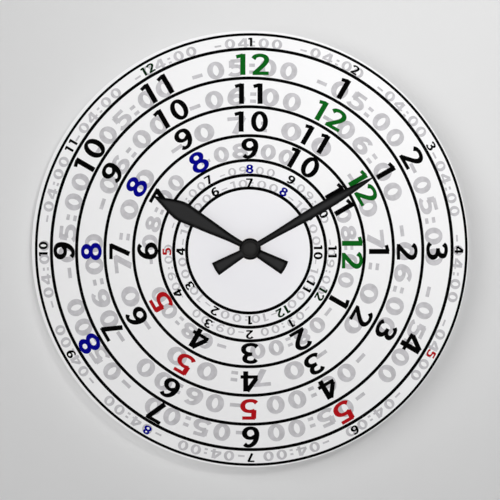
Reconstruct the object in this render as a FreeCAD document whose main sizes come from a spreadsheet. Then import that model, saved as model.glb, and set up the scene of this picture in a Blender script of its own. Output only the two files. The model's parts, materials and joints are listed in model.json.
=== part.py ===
"""A round frameless wall clock: one printed disc, two leaf-shaped hands and a quartz movement behind.

Every piece is drawn looking at the dial from the front: x to the right, y up and z towards the viewer,
with z = 0 on the back of the disc and the hand arbor on the z axis. Its Placement then stands it up:
+Z up, the dial facing -Y, and the origin at the hanging hole's mouth, on the wall plane.
"""

import FreeCAD, Part
import Sketcher
import math
import os

Vector = FreeCAD.Vector

# Driving sizes: lengths in millimetres, angles in degrees, teeth and notches as counts
SIZES = {
    # Disc
    "dial_diameter": 273.0,
    "dial_thickness": 3.0,
    # Fits: radial room of a turning arbor, of what slips over the bush, and of parts laid side by side
    "running_gap": 0.05,
    "bush_gap": 0.15,
    "seat_gap": 0.1,
    "overrun": 5.0,
    # Movement case
    "case_wall": 1.2,
    "case_corner": 4.0,
    "partition": 1.0,
    "cover_thickness": 1.2,
    "cover_rim": 1.5,
    "cover_rim_wall": 0.9,
    "bush_diameter": 8.0,
    "bush_spare": 1.0,
    "pivot_depth": 0.9,
    "pivot_hole_depth": 1.1,
    "pivot_floor_depth": 0.8,
    "socket_width": 3.2,
    "socket_rise": 1.9,
    "bearing_room": 1.0,
    # Hanging tab: the hole's centre rises above the case
    "hang_rise": 7.0,
    "hang_hole": 8.0,
    "hang_slot": 4.4,
    "hang_slot_rise": 5.0,
    "tab_width": 18.0,
    "tab_rise": 12.5,
    "tab_thickness": 2.0,
    # Gasket, washer and nut
    "gasket_diameter": 18.0,
    "gasket_thickness": 0.8,
    "washer_diameter": 12.8,
    "washer_thickness": 0.4,
    "nut_flats": 11.0,
    "nut_thickness": 2.0,
    # Hands
    "hour_length": 70.0,
    "hour_width": 12.2,
    "hour_tail": 25.0,
    "hour_tail_width": 9.2,
    "hour_hub": 12.4,
    "hour_angle": 61.3,
    "minute_length": 89.4,
    "minute_width": 6.4,
    "minute_tail": 25.3,
    "minute_tail_width": 8.9,
    "minute_hub": 13.5,
    "minute_angle": -59.8,
    "hand_neck": 4.1,
    "hand_thickness": 0.5,
    "hand_gap": 0.3,
    "hour_pipe_stub": 0.8,
    "hand_step": 1.4,
    "arbor_stub": 0.9,
    "cap_diameter": 10.8,
    "cap_height": 2.4,
    "cap_chamfer": 0.8,
    "cap_crown": 0.3,
    "cap_crown_run": 1.8,
    # Arbors
    "hour_pipe_diameter": 5.0,
    "minute_arbor_diameter": 3.5,
    "minute_flange_diameter": 4.8,
    "minute_flange_thickness": 0.3,
    "pin_diameter": 1.0,
    # Heights of the gears: how far each front face lies behind the case floor
    "wheel_thickness": 0.8,
    "hour_wheel_level": 0.4,
    "hour_wheel_thickness": 1.0,
    "motion_pinion_level": 0.3,
    "motion_wheel_level": 2.2,
    "cannon_level": 2.0,
    "cannon_length": 1.4,
    "plate_level": 3.8,
    "plate_thickness": 1.0,
    "third_pinion_level": 5.0,
    "minute_wheel_level": 5.2,
    "second_pinion_level": 6.6,
    "third_wheel_level": 6.8,
    "fifth_pinion_level": 8.2,
    "second_wheel_level": 8.4,
    "rotor_pinion_level": 10.2,
    "fifth_wheel_level": 10.4,
    # Gear axes: each one's distance and direction from the axis that it meshes with
    "third_distance": 10.2,
    "third_direction": 100.0,
    "fifth_distance": 10.4,
    "fifth_direction": 10.0,
    "rotor_distance": 6.72,
    "rotor_direction": 10.0,
    "motion_distance": 9.6,
    "motion_direction": 150.0,
    "knob_distance": 10.8,
    "knob_direction": 135.0,
    # Teeth
    "rotor_teeth": 6,
    "fifth_teeth": 36,
    "fifth_pinion_teeth": 8,
    "second_teeth": 40,
    "second_pinion_teeth": 6,
    "third_teeth": 45,
    "third_pinion_teeth": 6,
    "minute_teeth": 48,
    "cannon_teeth": 10,
    "motion_teeth": 30,
    "motion_pinion_teeth": 8,
    "hour_teeth": 32,
    "knob_teeth": 15,
    # Setting knob and its well
    "knob_diameter": 11.0,
    "knob_height": 2.4,
    "knob_shaft": 3.0,
    "knob_recess": 0.4,
    "knob_play": 0.2,
    "knob_notches": 12,
    "knob_notch": 0.5,
    "well_room": 0.7,
    "well_wall": 1.0,
    # Stepper motor
    "magnet_diameter": 6.0,
    "magnet_length": 2.4,
    "stator_level": 8.0,
    "stator_thickness": 0.8,
    "stator_bore": 6.8,
    "stator_bridge": 0.86,
    "stator_reach": 5.6,
    "stator_shoulder": 2.2,
    "stator_band": 3.2,
    "leg_width": 2.8,
    "coil_height": 21.0,
    "coil_wall_room": 0.6,
    "coil_length": 17.6,
    "core_thickness": 0.8,
    "core_width": 2.8,
    "bobbin_tube": 4.0,
    "bobbin_flange": 6.8,
    "bobbin_flange_thickness": 0.8,
    "winding_width": 6.0,
    "winding_chamfer": 1.0,
    # Square posts on the front case's floor, and the pegs that they end in
    "post_width": 3.0,
    "peg_width": 1.4,
    "post_low": 8.2,
    "post_high": 13.5,
    "post_top_x": 6.5,
    "post_top_y": 14.6,
    "coil_post_width": 2.8,
    "peg_rise": 0.6,
    "pillar_width": 2.0,
    "pillar_inset": 1.3,
    # Middle plate: room to the board, past the knob's shaft and to the right wall, and how far the outer
    # posts lie inside its edge
    "plate_room": 0.3,
    "plate_edge": 2.5,
    "plate_right_room": 3.8,
    "plate_low": 10.2,
    "plate_high": 16.4,
    "plate_corner": 2.0,
    "post_inset": 2.4,
    # Circuit board and what it carries
    "board_width": 6.2,
    "board_level": 5.6,
    "board_thickness": 0.8,
    "board_top_room": 1.2,
    "board_post_width": 2.4,
    "board_post_low": 5.0,
    "board_post_high": 21.0,
    "chip_diameter": 4.8,
    "chip_height": 1.2,
    "chip_y": 4.0,
    "crystal_diameter": 2.0,
    "crystal_length": 6.2,
    "crystal_y": 9.5,
    # Cell and its contacts, and the least room behind it and from the bay to the minute wheel
    "cell_diameter": 14.5,
    "cell_back_room": 0.5,
    "train_room": 1.3,
    "cell_length": 49.5,
    "nub_diameter": 5.5,
    "nub_length": 1.0,
    "cell_round": 0.8,
    "cell_room": 0.3,
    "cell_contact_gap": 0.05,
    "contact_room": 3.1,
    "contact_thickness": 0.3,
    "contact_width": 8.0,
    "contact_plate": 9.0,
    "contact_notch": 0.8,
    "tail_width": 2.4,
    "tail_level": 4.8,
    "tail_run": 7.0,
}

# Half-widths along the hour hand's blade, as shares of its length and of its greatest half-width
HOUR_BLADE_SHARES = ((0.28, 0.49), (0.42, 0.70), (0.60, 0.92), (0.71, 1.0), (0.755, 0.9), (0.85, 0.55))
# The same for the minute hand
MINUTE_BLADE_SHARES = ((0.22, 0.66), (0.36, 0.84), (0.58, 1.0), (0.74, 0.86), (0.86, 0.57), (0.93, 0.36))

# Tooth form, as shares of the module, and the tooth's width at the pitch circle as a share of the pitch
ADDENDUM_SHARE = 0.8
DEDENDUM_SHARE = 1.15
TOOTH_SHARE = 0.42
PRESSURE_ANGLE = 20.0
HALF_TURN = 180
# Gears with fewer teeth than this have a knee in the flank at the pitch circle
KNEE_TEETH = 20
# The least part of an edge's direction that counts as running straight along an axis
STEEP_SHARE = 0.99

doc = FreeCAD.newDocument("world_time_clock")
sheet = doc.addObject("Spreadsheet::Sheet", "Sizes")
for row, (alias, value) in enumerate(SIZES.items(), start=1):
    sheet.set(f"A{row}", alias)
    sheet.set(f"B{row}", str(value))
    sheet.setAlias(f"B{row}", alias)
doc.recompute()

# Heights along the hand arbor, as expressions of the sheet
CASE_FRONT = "(-Sizes.gasket_thickness)"
FLOOR = f"({CASE_FRONT} - Sizes.case_wall)"
TRAIN_STACK = "Sizes.fifth_wheel_level + Sizes.wheel_thickness + Sizes.bearing_room + Sizes.socket_rise"
CASE_DEPTH = (
    f"(Sizes.case_wall + max({TRAIN_STACK} + Sizes.cover_thickness; "
    "Sizes.cell_room + Sizes.cell_diameter + Sizes.cell_back_room))"
)
WALL_PLANE = f"({CASE_FRONT} - {CASE_DEPTH})"
COVER_INSIDE = f"({WALL_PLANE} + Sizes.cover_thickness)"
SOCKET_TOP = f"({COVER_INSIDE} + Sizes.socket_rise)"
NUT_BACK = "(Sizes.dial_thickness + Sizes.washer_thickness)"
BUSH_END = f"({NUT_BACK} + Sizes.nut_thickness + Sizes.bush_spare)"
HOUR_HAND_BACK = f"({BUSH_END} + Sizes.hand_gap)"
HOUR_PIPE_END = f"({HOUR_HAND_BACK} + Sizes.hand_thickness + Sizes.hour_pipe_stub)"
MINUTE_HAND_BACK = f"({HOUR_HAND_BACK} + Sizes.hand_thickness + Sizes.hand_step)"
MINUTE_HAND_FRONT = f"({MINUTE_HAND_BACK} + Sizes.hand_thickness)"
ARBOR_END = f"({MINUTE_HAND_FRONT} + Sizes.arbor_stub)"
PLATE_BACK = f"({FLOOR} - Sizes.plate_level - Sizes.plate_thickness)"
STATOR_FRONT = f"({FLOOR} - Sizes.stator_level)"
CORE_FRONT = f"({STATOR_FRONT} - Sizes.stator_thickness)"
CORE_BACK = f"({CORE_FRONT} - Sizes.core_thickness)"
BOARD_FRONT = f"({FLOOR} - Sizes.board_level)"
BOARD_BACK = f"({BOARD_FRONT} - Sizes.board_thickness)"
KNOB_BACK = f"({WALL_PLANE} + Sizes.knob_recess)"
KNOB_FRONT = f"({KNOB_BACK} + Sizes.knob_height)"
WELL_FLOOR = f"({KNOB_FRONT} + Sizes.knob_play)"
FRONT_PIVOT = f"({PLATE_BACK} + Sizes.pivot_depth)"
FLOOR_PIVOT = f"({FLOOR} + Sizes.pivot_floor_depth)"
REAR_PIVOT = f"({SOCKET_TOP} - Sizes.pivot_depth)"

# Places across the dial, as expressions of the sheet


def polar(axis, start=("0", "0")):
    """The place of an axis that lies a named distance and direction from another, as two expressions."""
    reach = f"Sizes.{axis}_distance"
    turn = f"Sizes.{axis}_direction"
    return f"({start[0]} + {reach} * cos({turn}))", f"({start[1]} + {reach} * sin({turn}))"


CENTRE = ("0", "0")
THIRD_AXIS = polar("third")
FIFTH_AXIS = polar("fifth")
ROTOR_AXIS = polar("rotor", FIFTH_AXIS)
MOTION_AXIS = polar("motion")
KNOB_AXIS = polar("knob", MOTION_AXIS)
# Half the case's inside width: the most of what the cell, the knob's shaft beside the board and the
# minute wheel above the battery bay each ask for
CELL_SHARE = "(Sizes.cell_length + Sizes.nub_length + Sizes.contact_room) / 2"
SHAFT_SHARE = (
    "Sizes.contact_thickness + Sizes.board_width + Sizes.plate_room + Sizes.plate_edge "
    f"+ Sizes.knob_shaft / 2 - {KNOB_AXIS[0]}"
)
MINUTE_WHEEL_TIP = (
    f"Sizes.third_distance * (Sizes.minute_teeth + {2 * ADDENDUM_SHARE}) "
    "/ (Sizes.minute_teeth + Sizes.third_pinion_teeth)"
)
BAY_SHARE = (
    "Sizes.cell_diameter + 2 * Sizes.cell_room + Sizes.partition + Sizes.train_room "
    f"+ {MINUTE_WHEEL_TIP}"
)
INSIDE = f"max({CELL_SHARE}; {SHAFT_SHARE}; {BAY_SHARE})"
HALF_CASE = f"({INSIDE} + Sizes.case_wall)"
HANG_HEIGHT = f"({HALF_CASE} + Sizes.hang_rise)"
BAY_TOP = f"(Sizes.cell_diameter + 2 * Sizes.cell_room - {INSIDE})"
CHAMBER_LOW = f"({BAY_TOP} + Sizes.partition)"
CELL_Y = f"(Sizes.cell_diameter / 2 + Sizes.cell_room - {INSIDE})"
CELL_Z = f"({FLOOR} - Sizes.cell_room - Sizes.cell_diameter / 2)"
CELL_RIGHT = f"({INSIDE} - Sizes.contact_thickness - Sizes.cell_contact_gap)"
CELL_LEFT = f"({CELL_RIGHT} - Sizes.nub_length - Sizes.cell_length)"
COIL_RIGHT = f"({INSIDE} - Sizes.coil_wall_room)"
COIL_LEFT = f"({COIL_RIGHT} - Sizes.coil_length)"
BOARD_LEFT = f"(Sizes.contact_thickness - {INSIDE})"
BOARD_MIDDLE = f"({BOARD_LEFT} + Sizes.board_width / 2)"
TAB_MIDDLE = f"({HALF_CASE} + Sizes.tab_rise)"
PLATE_LEFT = f"({BOARD_LEFT} + Sizes.board_width + Sizes.plate_room)"
PLATE_RIGHT = f"({INSIDE} - Sizes.plate_right_room)"
POST_LEFT = f"({PLATE_LEFT} + Sizes.post_inset)"


COIL_POSTS = tuple(
    (f"({end} Sizes.leg_width / 2)", "Sizes.coil_height") for end in (f"{COIL_LEFT} +", f"{COIL_RIGHT} -")
)
PLATE_POSTS = (
    (POST_LEFT, "-Sizes.post_low"),
    (f"-{POST_LEFT}", "-Sizes.post_low"),
    (f"-{POST_LEFT}", "Sizes.post_high"),
    ("-Sizes.post_top_x", "Sizes.post_top_y"),
)
BOARD_POSTS = ((BOARD_MIDDLE, "-Sizes.board_post_low"), (BOARD_MIDDLE, "Sizes.board_post_high"))


def number(expression):
    """The present value of an expression of the sheet."""
    return float(sheet.evalExpression(expression))


def half(alias, gap="0"):
    """Half of a named diameter, with a gap added, as an expression."""
    return f"(Sizes.{alias} / 2 + {gap})"


def behind(alias):
    """The height that lies a named level behind the case floor."""
    return f"({FLOOR} - Sizes.{alias})"


def stand(piece, place=CENTRE, spin=0.0):
    """Turn a piece from the dial's view to its place in the upright frame."""
    upright = FreeCAD.Rotation(Vector(1, 0, 0), 90)
    turned = FreeCAD.Rotation(Vector(0, 0, 1), spin)
    piece.Placement = FreeCAD.Placement(Vector(), upright * turned)
    piece.setExpression("Placement.Base.x", place[0])
    piece.setExpression("Placement.Base.y", WALL_PLANE)
    piece.setExpression("Placement.Base.z", f"{place[1]} - {HANG_HEIGHT}")
    pieces.append(piece)


pieces = []


# Sketches and features of a body


def new_body(name):
    body = doc.addObject("PartDesign::Body", name)
    body.Label = name
    return body


def new_sketch(body, height="0", role="XY_Plane", rise="0"):
    """A sketch on one of the body's own planes, moved along the plane's normal and along its own y."""
    sketch = body.newObject("Sketcher::SketchObject", f"{body.Name}_sketch")
    plane = next(item for item in body.Origin.OriginFeatures if item.Role == role)
    sketch.AttachmentSupport = [(plane, "")]
    sketch.MapMode = "FlatFace"
    sketch.setExpression("AttachmentOffset.Base.z", height)
    sketch.setExpression("AttachmentOffset.Base.y", rise)
    return sketch


def pin_point(sketch, geometry, point, place):
    """Hold one point of a sketch at the place that two expressions give."""
    for axis, line, expression in (("X", -2, place[0]), ("Y", -1, place[1])):
        value = number(expression)
        if value == 0:
            sketch.addConstraint(Sketcher.Constraint("PointOnObject", geometry, point, line))
            continue
        rule = Sketcher.Constraint(f"Distance{axis}", -1, 1, geometry, point, value)
        name = f"{axis.lower()}{sketch.ConstraintCount}"
        sketch.renameConstraint(sketch.addConstraint(rule), name)
        sketch.setExpression(f"Constraints.{name}", expression)


def add_circle(sketch, radius, place=CENTRE):
    middle = Vector(number(place[0]), number(place[1]))
    circle = sketch.addGeometry(Part.Circle(middle, Vector(0, 0, 1), number(radius)), False)
    pin_point(sketch, circle, 3, place)
    name = f"radius{sketch.ConstraintCount}"
    sketch.renameConstraint(sketch.addConstraint(Sketcher.Constraint("Radius", circle, number(radius))), name)
    sketch.setExpression(f"Constraints.{name}", radius)


def add_outline(sketch, corners):
    """A closed outline of straight edges through corners given as pairs of expressions."""
    values = [Vector(number(x), number(y)) for x, y in corners]
    lines = [
        sketch.addGeometry(Part.LineSegment(start, values[(index + 1) % len(values)]), False)
        for index, start in enumerate(values)
    ]
    for index, line in enumerate(lines):
        sketch.addConstraint(Sketcher.Constraint("Coincident", line, 2, lines[(index + 1) % len(lines)], 1))
    for line, corner in zip(lines, corners):
        pin_point(sketch, line, 1, corner)


def add_box(sketch, left, right, low, high):
    add_outline(sketch, ((left, low), (right, low), (right, high), (left, high)))


def add_squares(sketch, side, places):
    """Squares of a named side about several places."""
    reach = half(side)
    for x, y in places:
        add_box(sketch, f"{x} - {reach}", f"{x} + {reach}", f"{y} - {reach}", f"{y} + {reach}")


def volume(body):
    doc.recompute()
    return body.Shape.Volume


def pad(body, sketch, length, rearward=False):
    feature = body.newObject("PartDesign::Pad", f"{body.Name}_pad")
    feature.Profile = sketch
    feature.setExpression("Length", length)
    feature.Reversed = rearward
    doc.recompute()
    return feature


def revolve(body, sketch, axis):
    """Turn a sketch all round one of its own axes."""
    feature = body.newObject("PartDesign::Revolution", f"{body.Name}_turn")
    feature.Profile = sketch
    feature.ReferenceAxis = (sketch, [axis])
    feature.Angle = 360
    doc.recompute()


def pocket(body, sketch, length, forward=False):
    """Cut a sketch's area away rearward, or forward, and make sure that it cuts."""
    before = volume(body)
    feature = body.newObject("PartDesign::Pocket", f"{body.Name}_pocket")
    feature.Profile = sketch
    feature.setExpression("Length", length)
    feature.Reversed = forward
    if volume(body) >= before:
        raise ValueError(f"a pocket of {body.Name} cuts nothing")
    return feature


def edges_of(shape, test):
    """The names of the edges of a shape whose middle point and edge pass a test."""
    names = []
    for index, edge in enumerate(shape.Edges, start=1):
        if test(edge.valueAt((edge.FirstParameter + edge.LastParameter) / 2), edge):
            names.append(f"Edge{index}")
    return names


def round_edges(body, radius, test):
    base = body.Tip
    feature = body.newObject("PartDesign::Fillet", f"{body.Name}_fillet")
    feature.Base = (base, edges_of(base.Shape, test))
    feature.setExpression("Radius", radius)
    doc.recompute()


def chamfer_edges(body, size, test):
    base = body.Tip
    feature = body.newObject("PartDesign::Chamfer", f"{body.Name}_chamfer")
    feature.Base = (base, edges_of(base.Shape, test))
    feature.setExpression("Size", size)
    doc.recompute()


def upright_edge(edge):
    """Whether an edge runs straight along the hand arbor's direction."""
    return edge.Curve.TypeId == "Part::GeomLine" and abs(edge.Curve.Direction.z) > STEEP_SHARE


def lengthwise_edge(edge):
    """Whether an edge runs straight from left to right."""
    return edge.Curve.TypeId == "Part::GeomLine" and abs(edge.Curve.Direction.x) > STEEP_SHARE


# Solids of the Part kind, for toothed wheels and curved blades


def cylinder(name, radius, back, front, place=CENTRE):
    piece = doc.addObject("Part::Cylinder", name)
    piece.setExpression("Radius", radius)
    piece.setExpression("Height", f"{front} - {back}")
    for axis, expression in zip("xyz", (*place, back)):
        piece.setExpression(f"Placement.Base.{axis}", expression)
    return piece


def prism(name, face, back, thickness):
    """A flat face raised to a solid whose back lies at a given height."""
    outline = doc.addObject("Part::Feature", f"{name}_outline")
    outline.Shape = face
    piece = doc.addObject("Part::Extrusion", name)
    piece.Base = outline
    piece.DirMode = "Custom"
    piece.Dir = Vector(0, 0, 1)
    piece.Solid = True
    piece.setExpression("LengthFwd", thickness)
    piece.setExpression("Placement.Base.z", back)
    return piece


def fuse(name, solids):
    piece = doc.addObject("Part::MultiFuse", name)
    piece.Shapes = solids
    return piece


def cut(name, base, tool):
    piece = doc.addObject("Part::Cut", name)
    piece.Base = base
    piece.Tool = tool
    return piece


# Teeth


def module_of(distance, teeth, mate):
    """The module with which two gears mesh at a distance."""
    return 2 * number(f"Sizes.{distance}_distance") / (SIZES[teeth] + SIZES[mate])


def involute(angle):
    return math.tan(angle) - angle


def toothed_face(teeth, module, phase):
    """A toothed outline with straight-sided teeth on involute widths, one tooth at the phase angle."""
    pitch = module * teeth / 2
    base = pitch * math.cos(math.radians(PRESSURE_ANGLE))
    pitch_half_angle = math.pi * TOOTH_SHARE / teeth
    knee = (pitch,) if teeth < KNEE_TEETH else ()
    radii = (pitch - DEDENDUM_SHARE * module, *knee, pitch + ADDENDUM_SHARE * module)

    def half_angle(radius):
        lean = math.acos(min(base / radius, 1.0))
        return pitch_half_angle + involute(math.radians(PRESSURE_ANGLE)) - involute(lean)

    sides = [(radius, half_angle(radius)) for radius in radii]
    points = []
    for tooth in range(teeth):
        turn = math.radians(phase) + math.tau * tooth / teeth
        right = [(radius, turn - angle) for radius, angle in sides]
        left = [(radius, turn + angle) for radius, angle in reversed(sides)]
        points += [Vector(radius * math.cos(a), radius * math.sin(a)) for radius, a in right + left]
    return Part.Face(Part.makePolygon(points + points[:1]))


def meshed_phase(phase, teeth, mate, direction):
    """The phase of a mate whose gap meets a gear's tooth, when it lies in a direction from the gear."""
    passed = (direction - phase) * SIZES[teeth] / 360
    return direction + HALF_TURN - (0.5 - passed) * 360 / SIZES[mate]


def gear(name, teeth, module, phase, back, thickness):
    return prism(name, toothed_face(SIZES[teeth], module, phase), back, thickness)


# Modules and phases, followed through the two trains from their first gear
ROTOR_MODULE = module_of("rotor", "rotor_teeth", "fifth_teeth")
FIFTH_MODULE = module_of("fifth", "fifth_pinion_teeth", "second_teeth")
SECOND_MODULE = module_of("third", "second_pinion_teeth", "third_teeth")
THIRD_MODULE = module_of("third", "third_pinion_teeth", "minute_teeth")
CANNON_MODULE = module_of("motion", "cannon_teeth", "motion_teeth")
HOUR_MODULE = module_of("motion", "motion_pinion_teeth", "hour_teeth")

FIFTH_PHASE = meshed_phase(0, "rotor_teeth", "fifth_teeth", SIZES["rotor_direction"] + HALF_TURN)
SECOND_PHASE = meshed_phase(0, "fifth_pinion_teeth", "second_teeth", SIZES["fifth_direction"] + HALF_TURN)
THIRD_PHASE = meshed_phase(0, "second_pinion_teeth", "third_teeth", SIZES["third_direction"])
MINUTE_PHASE = meshed_phase(0, "third_pinion_teeth", "minute_teeth", SIZES["third_direction"] + HALF_TURN)
MOTION_PHASE = meshed_phase(0, "cannon_teeth", "motion_teeth", SIZES["motion_direction"])
HOUR_PHASE = meshed_phase(0, "motion_pinion_teeth", "hour_teeth", SIZES["motion_direction"] + HALF_TURN)
KNOB_PHASE = meshed_phase(MOTION_PHASE, "motion_teeth", "knob_teeth", SIZES["knob_direction"])


def pivoted(name, place, solids):
    """A wheel of several solids fused on one arbor and stood at its axis."""
    stand(fuse(name, solids), place)


# The disc and what clamps the movement to it


def make_dial_disc():
    body = new_body("dial_disc")
    sketch = new_sketch(body)
    add_circle(sketch, half("dial_diameter"))
    add_circle(sketch, half("bush_diameter", "Sizes.bush_gap"))
    pad(body, sketch, "Sizes.dial_thickness")
    stand(body)


def make_ring(name, outer, inner, back, thickness):
    body = new_body(name)
    sketch = new_sketch(body, back)
    add_circle(sketch, outer)
    add_circle(sketch, inner)
    pad(body, sketch, thickness)
    stand(body)


def make_hex_nut():
    body = new_body("hex_nut")
    sketch = new_sketch(body, NUT_BACK)
    corner = "(Sizes.nut_flats / 2 / cos(30))"
    add_outline(sketch, [(f"{corner} * cos({60 * k})", f"{corner} * sin({60 * k})") for k in range(6)])
    add_circle(sketch, half("bush_diameter"))
    pad(body, sketch, "Sizes.nut_thickness")
    stand(body)


# Hands


def blade_face(prefix, shares):
    """A hand's outline pointing up: a leaf to the tip, and a tail that flares to an arc about the hub."""
    length, width = SIZES[f"{prefix}_length"], SIZES[f"{prefix}_width"] / 2
    neck = SIZES["hand_neck"] / 2
    tail, tail_width = SIZES[f"{prefix}_tail"], SIZES[f"{prefix}_tail_width"] / 2
    tail_y = -math.sqrt(tail**2 - tail_width**2)
    right = [Vector(neck, 0)] + [Vector(half_width * width, reach * length) for reach, half_width in shares]
    tip = Vector(0, length)

    def side(sign):
        points = [Vector(sign * point.x, point.y) for point in right + [tip]]
        curve = Part.BSplineCurve()
        curve.interpolate(points)
        return curve.toShape(), Part.LineSegment(Vector(sign * tail_width, tail_y), points[0]).toShape()

    end = Part.Arc(Vector(-tail_width, tail_y), Vector(0, -tail), Vector(tail_width, tail_y)).toShape()
    right_blade, right_tail = side(1)
    left_blade, left_tail = side(-1)
    wire = Part.Wire(Part.sortEdges([right_tail, right_blade, left_blade, left_tail, end])[0])
    return Part.Face(wire)


def make_hand(prefix, shares, back, arbor):
    name = f"{prefix}_hand"
    front = f"({back} + Sizes.hand_thickness)"
    blade = prism(f"{name}_blade", blade_face(prefix, shares), back, "Sizes.hand_thickness")
    hub = cylinder(f"{name}_hub", half(f"{prefix}_hub"), back, front)
    bore = cylinder(
        f"{name}_bore", half(arbor), f"({back} - Sizes.overrun)", f"({front} + Sizes.overrun)"
    )
    stand(cut(name, fuse(f"{name}_whole", [blade, hub]), bore), spin=SIZES[f"{prefix}_angle"])


def make_hand_cap():
    """A turned cap, pressed on the end of the minute arbor, with a chamfer and a low crown."""
    body = new_body("hand_cap")
    sketch = new_sketch(body, role="XZ_Plane", rise=MINUTE_HAND_FRONT)
    rim, bore = half("cap_diameter"), half("minute_arbor_diameter")
    shoulder = "(Sizes.cap_height - Sizes.cap_crown)"
    crown = f"({rim} - Sizes.cap_chamfer)"
    add_outline(sketch, (
        (bore, "0"), (rim, "0"), (rim, f"{shoulder} - Sizes.cap_chamfer"), (crown, shoulder),
        (f"{crown} - Sizes.cap_crown_run", "Sizes.cap_height"), ("0", "Sizes.cap_height"),
        ("0", "Sizes.arbor_stub"), (bore, "Sizes.arbor_stub"),
    ))
    revolve(body, sketch, "V_Axis")
    stand(body)


# The movement's shells


def make_front_case():
    """A tray with the bush, the battery bay below a partition, and pegged posts on its floor."""
    body = new_body("front_case")
    sketch = new_sketch(body, CASE_FRONT)
    add_box(sketch, f"-{HALF_CASE}", HALF_CASE, f"-{HALF_CASE}", HALF_CASE)
    pad(body, sketch, f"{CASE_DEPTH} - Sizes.cover_thickness", rearward=True)
    round_edges(body, "Sizes.case_corner", lambda middle, edge: upright_edge(edge))
    for low, high in ((CHAMBER_LOW, INSIDE), (f"-{INSIDE}", BAY_TOP)):
        sketch = new_sketch(body, COVER_INSIDE)
        add_box(sketch, f"-{INSIDE}", INSIDE, low, high)
        pocket(body, sketch, f"{FLOOR} - {COVER_INSIDE}", forward=True)
    notches = new_sketch(body, COVER_INSIDE)
    for left, right in ((f"-{INSIDE}", f"Sizes.contact_notch - {INSIDE}"),
                        (f"{INSIDE} - Sizes.contact_notch", INSIDE)):
        add_box(notches, left, right, f"{BAY_TOP} - Sizes.case_wall", f"{CHAMBER_LOW} + Sizes.case_wall")
    depth = f"{FLOOR} - Sizes.tail_level - {COVER_INSIDE} + Sizes.seat_gap"
    pocket(body, notches, depth, forward=True)
    add_posts(body, PLATE_POSTS, "post_width", "Sizes.plate_level", "Sizes.plate_thickness")
    add_posts(body, BOARD_POSTS, "board_post_width", "Sizes.board_level", "Sizes.board_thickness")
    stack = "Sizes.stator_thickness + Sizes.core_thickness + Sizes.peg_rise"
    add_posts(body, COIL_POSTS, "coil_post_width", "Sizes.stator_level", stack)
    bush = new_sketch(body, CASE_FRONT)
    add_circle(bush, half("bush_diameter"))
    pad(body, bush, f"{BUSH_END} - {CASE_FRONT}")
    bore = new_sketch(body, BUSH_END)
    add_circle(bore, half("hour_pipe_diameter", "Sizes.running_gap"))
    pocket(body, bore, f"{BUSH_END} - {FLOOR} + Sizes.hour_wheel_level")
    pivots = new_sketch(body, FLOOR)
    for place in (MOTION_AXIS, KNOB_AXIS):
        add_circle(pivots, half("pin_diameter", "Sizes.running_gap"), place)
    pocket(body, pivots, "Sizes.pivot_floor_depth + Sizes.running_gap", forward=True)
    stand(body)


def add_posts(body, places, width, height, peg):
    """Square posts on the case floor, each with a peg through what rests on it."""
    for side, length in ((width, height), ("peg_width", f"{height} + {peg}")):
        sketch = new_sketch(body, FLOOR)
        add_squares(sketch, side, places)
        pad(body, sketch, length, rearward=True)


def make_middle_plate():
    """The plate that carries the front pivots of the going train."""
    body = new_body("middle_plate")
    sketch = new_sketch(body, PLATE_BACK)
    add_box(sketch, PLATE_LEFT, PLATE_RIGHT, "-Sizes.plate_low", "Sizes.plate_high")
    pad(body, sketch, "Sizes.plate_thickness")
    chamfer_edges(body, "Sizes.plate_corner", lambda middle, edge: upright_edge(edge))
    pillar = new_sketch(body, PLATE_BACK)
    corner_x = f"({ROTOR_AXIS[0]} + Sizes.stator_reach - Sizes.pillar_inset)"
    corner_y = f"({ROTOR_AXIS[1]} - Sizes.stator_reach + Sizes.pillar_inset)"
    add_squares(pillar, "pillar_width", ((corner_x, corner_y),))
    pad(body, pillar, f"{PLATE_BACK} - {STATOR_FRONT}", rearward=True)
    holes = new_sketch(body, PLATE_BACK)
    add_squares(holes, "peg_width", PLATE_POSTS)
    for place in (THIRD_AXIS, FIFTH_AXIS, ROTOR_AXIS, MOTION_AXIS):
        add_circle(holes, half("pin_diameter", "Sizes.running_gap"), place)
    add_circle(holes, half("minute_arbor_diameter", "Sizes.running_gap"))
    add_circle(holes, half("knob_shaft", "Sizes.running_gap"), KNOB_AXIS)
    pocket(body, holes, "Sizes.plate_thickness", forward=True)
    stand(body)


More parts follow.
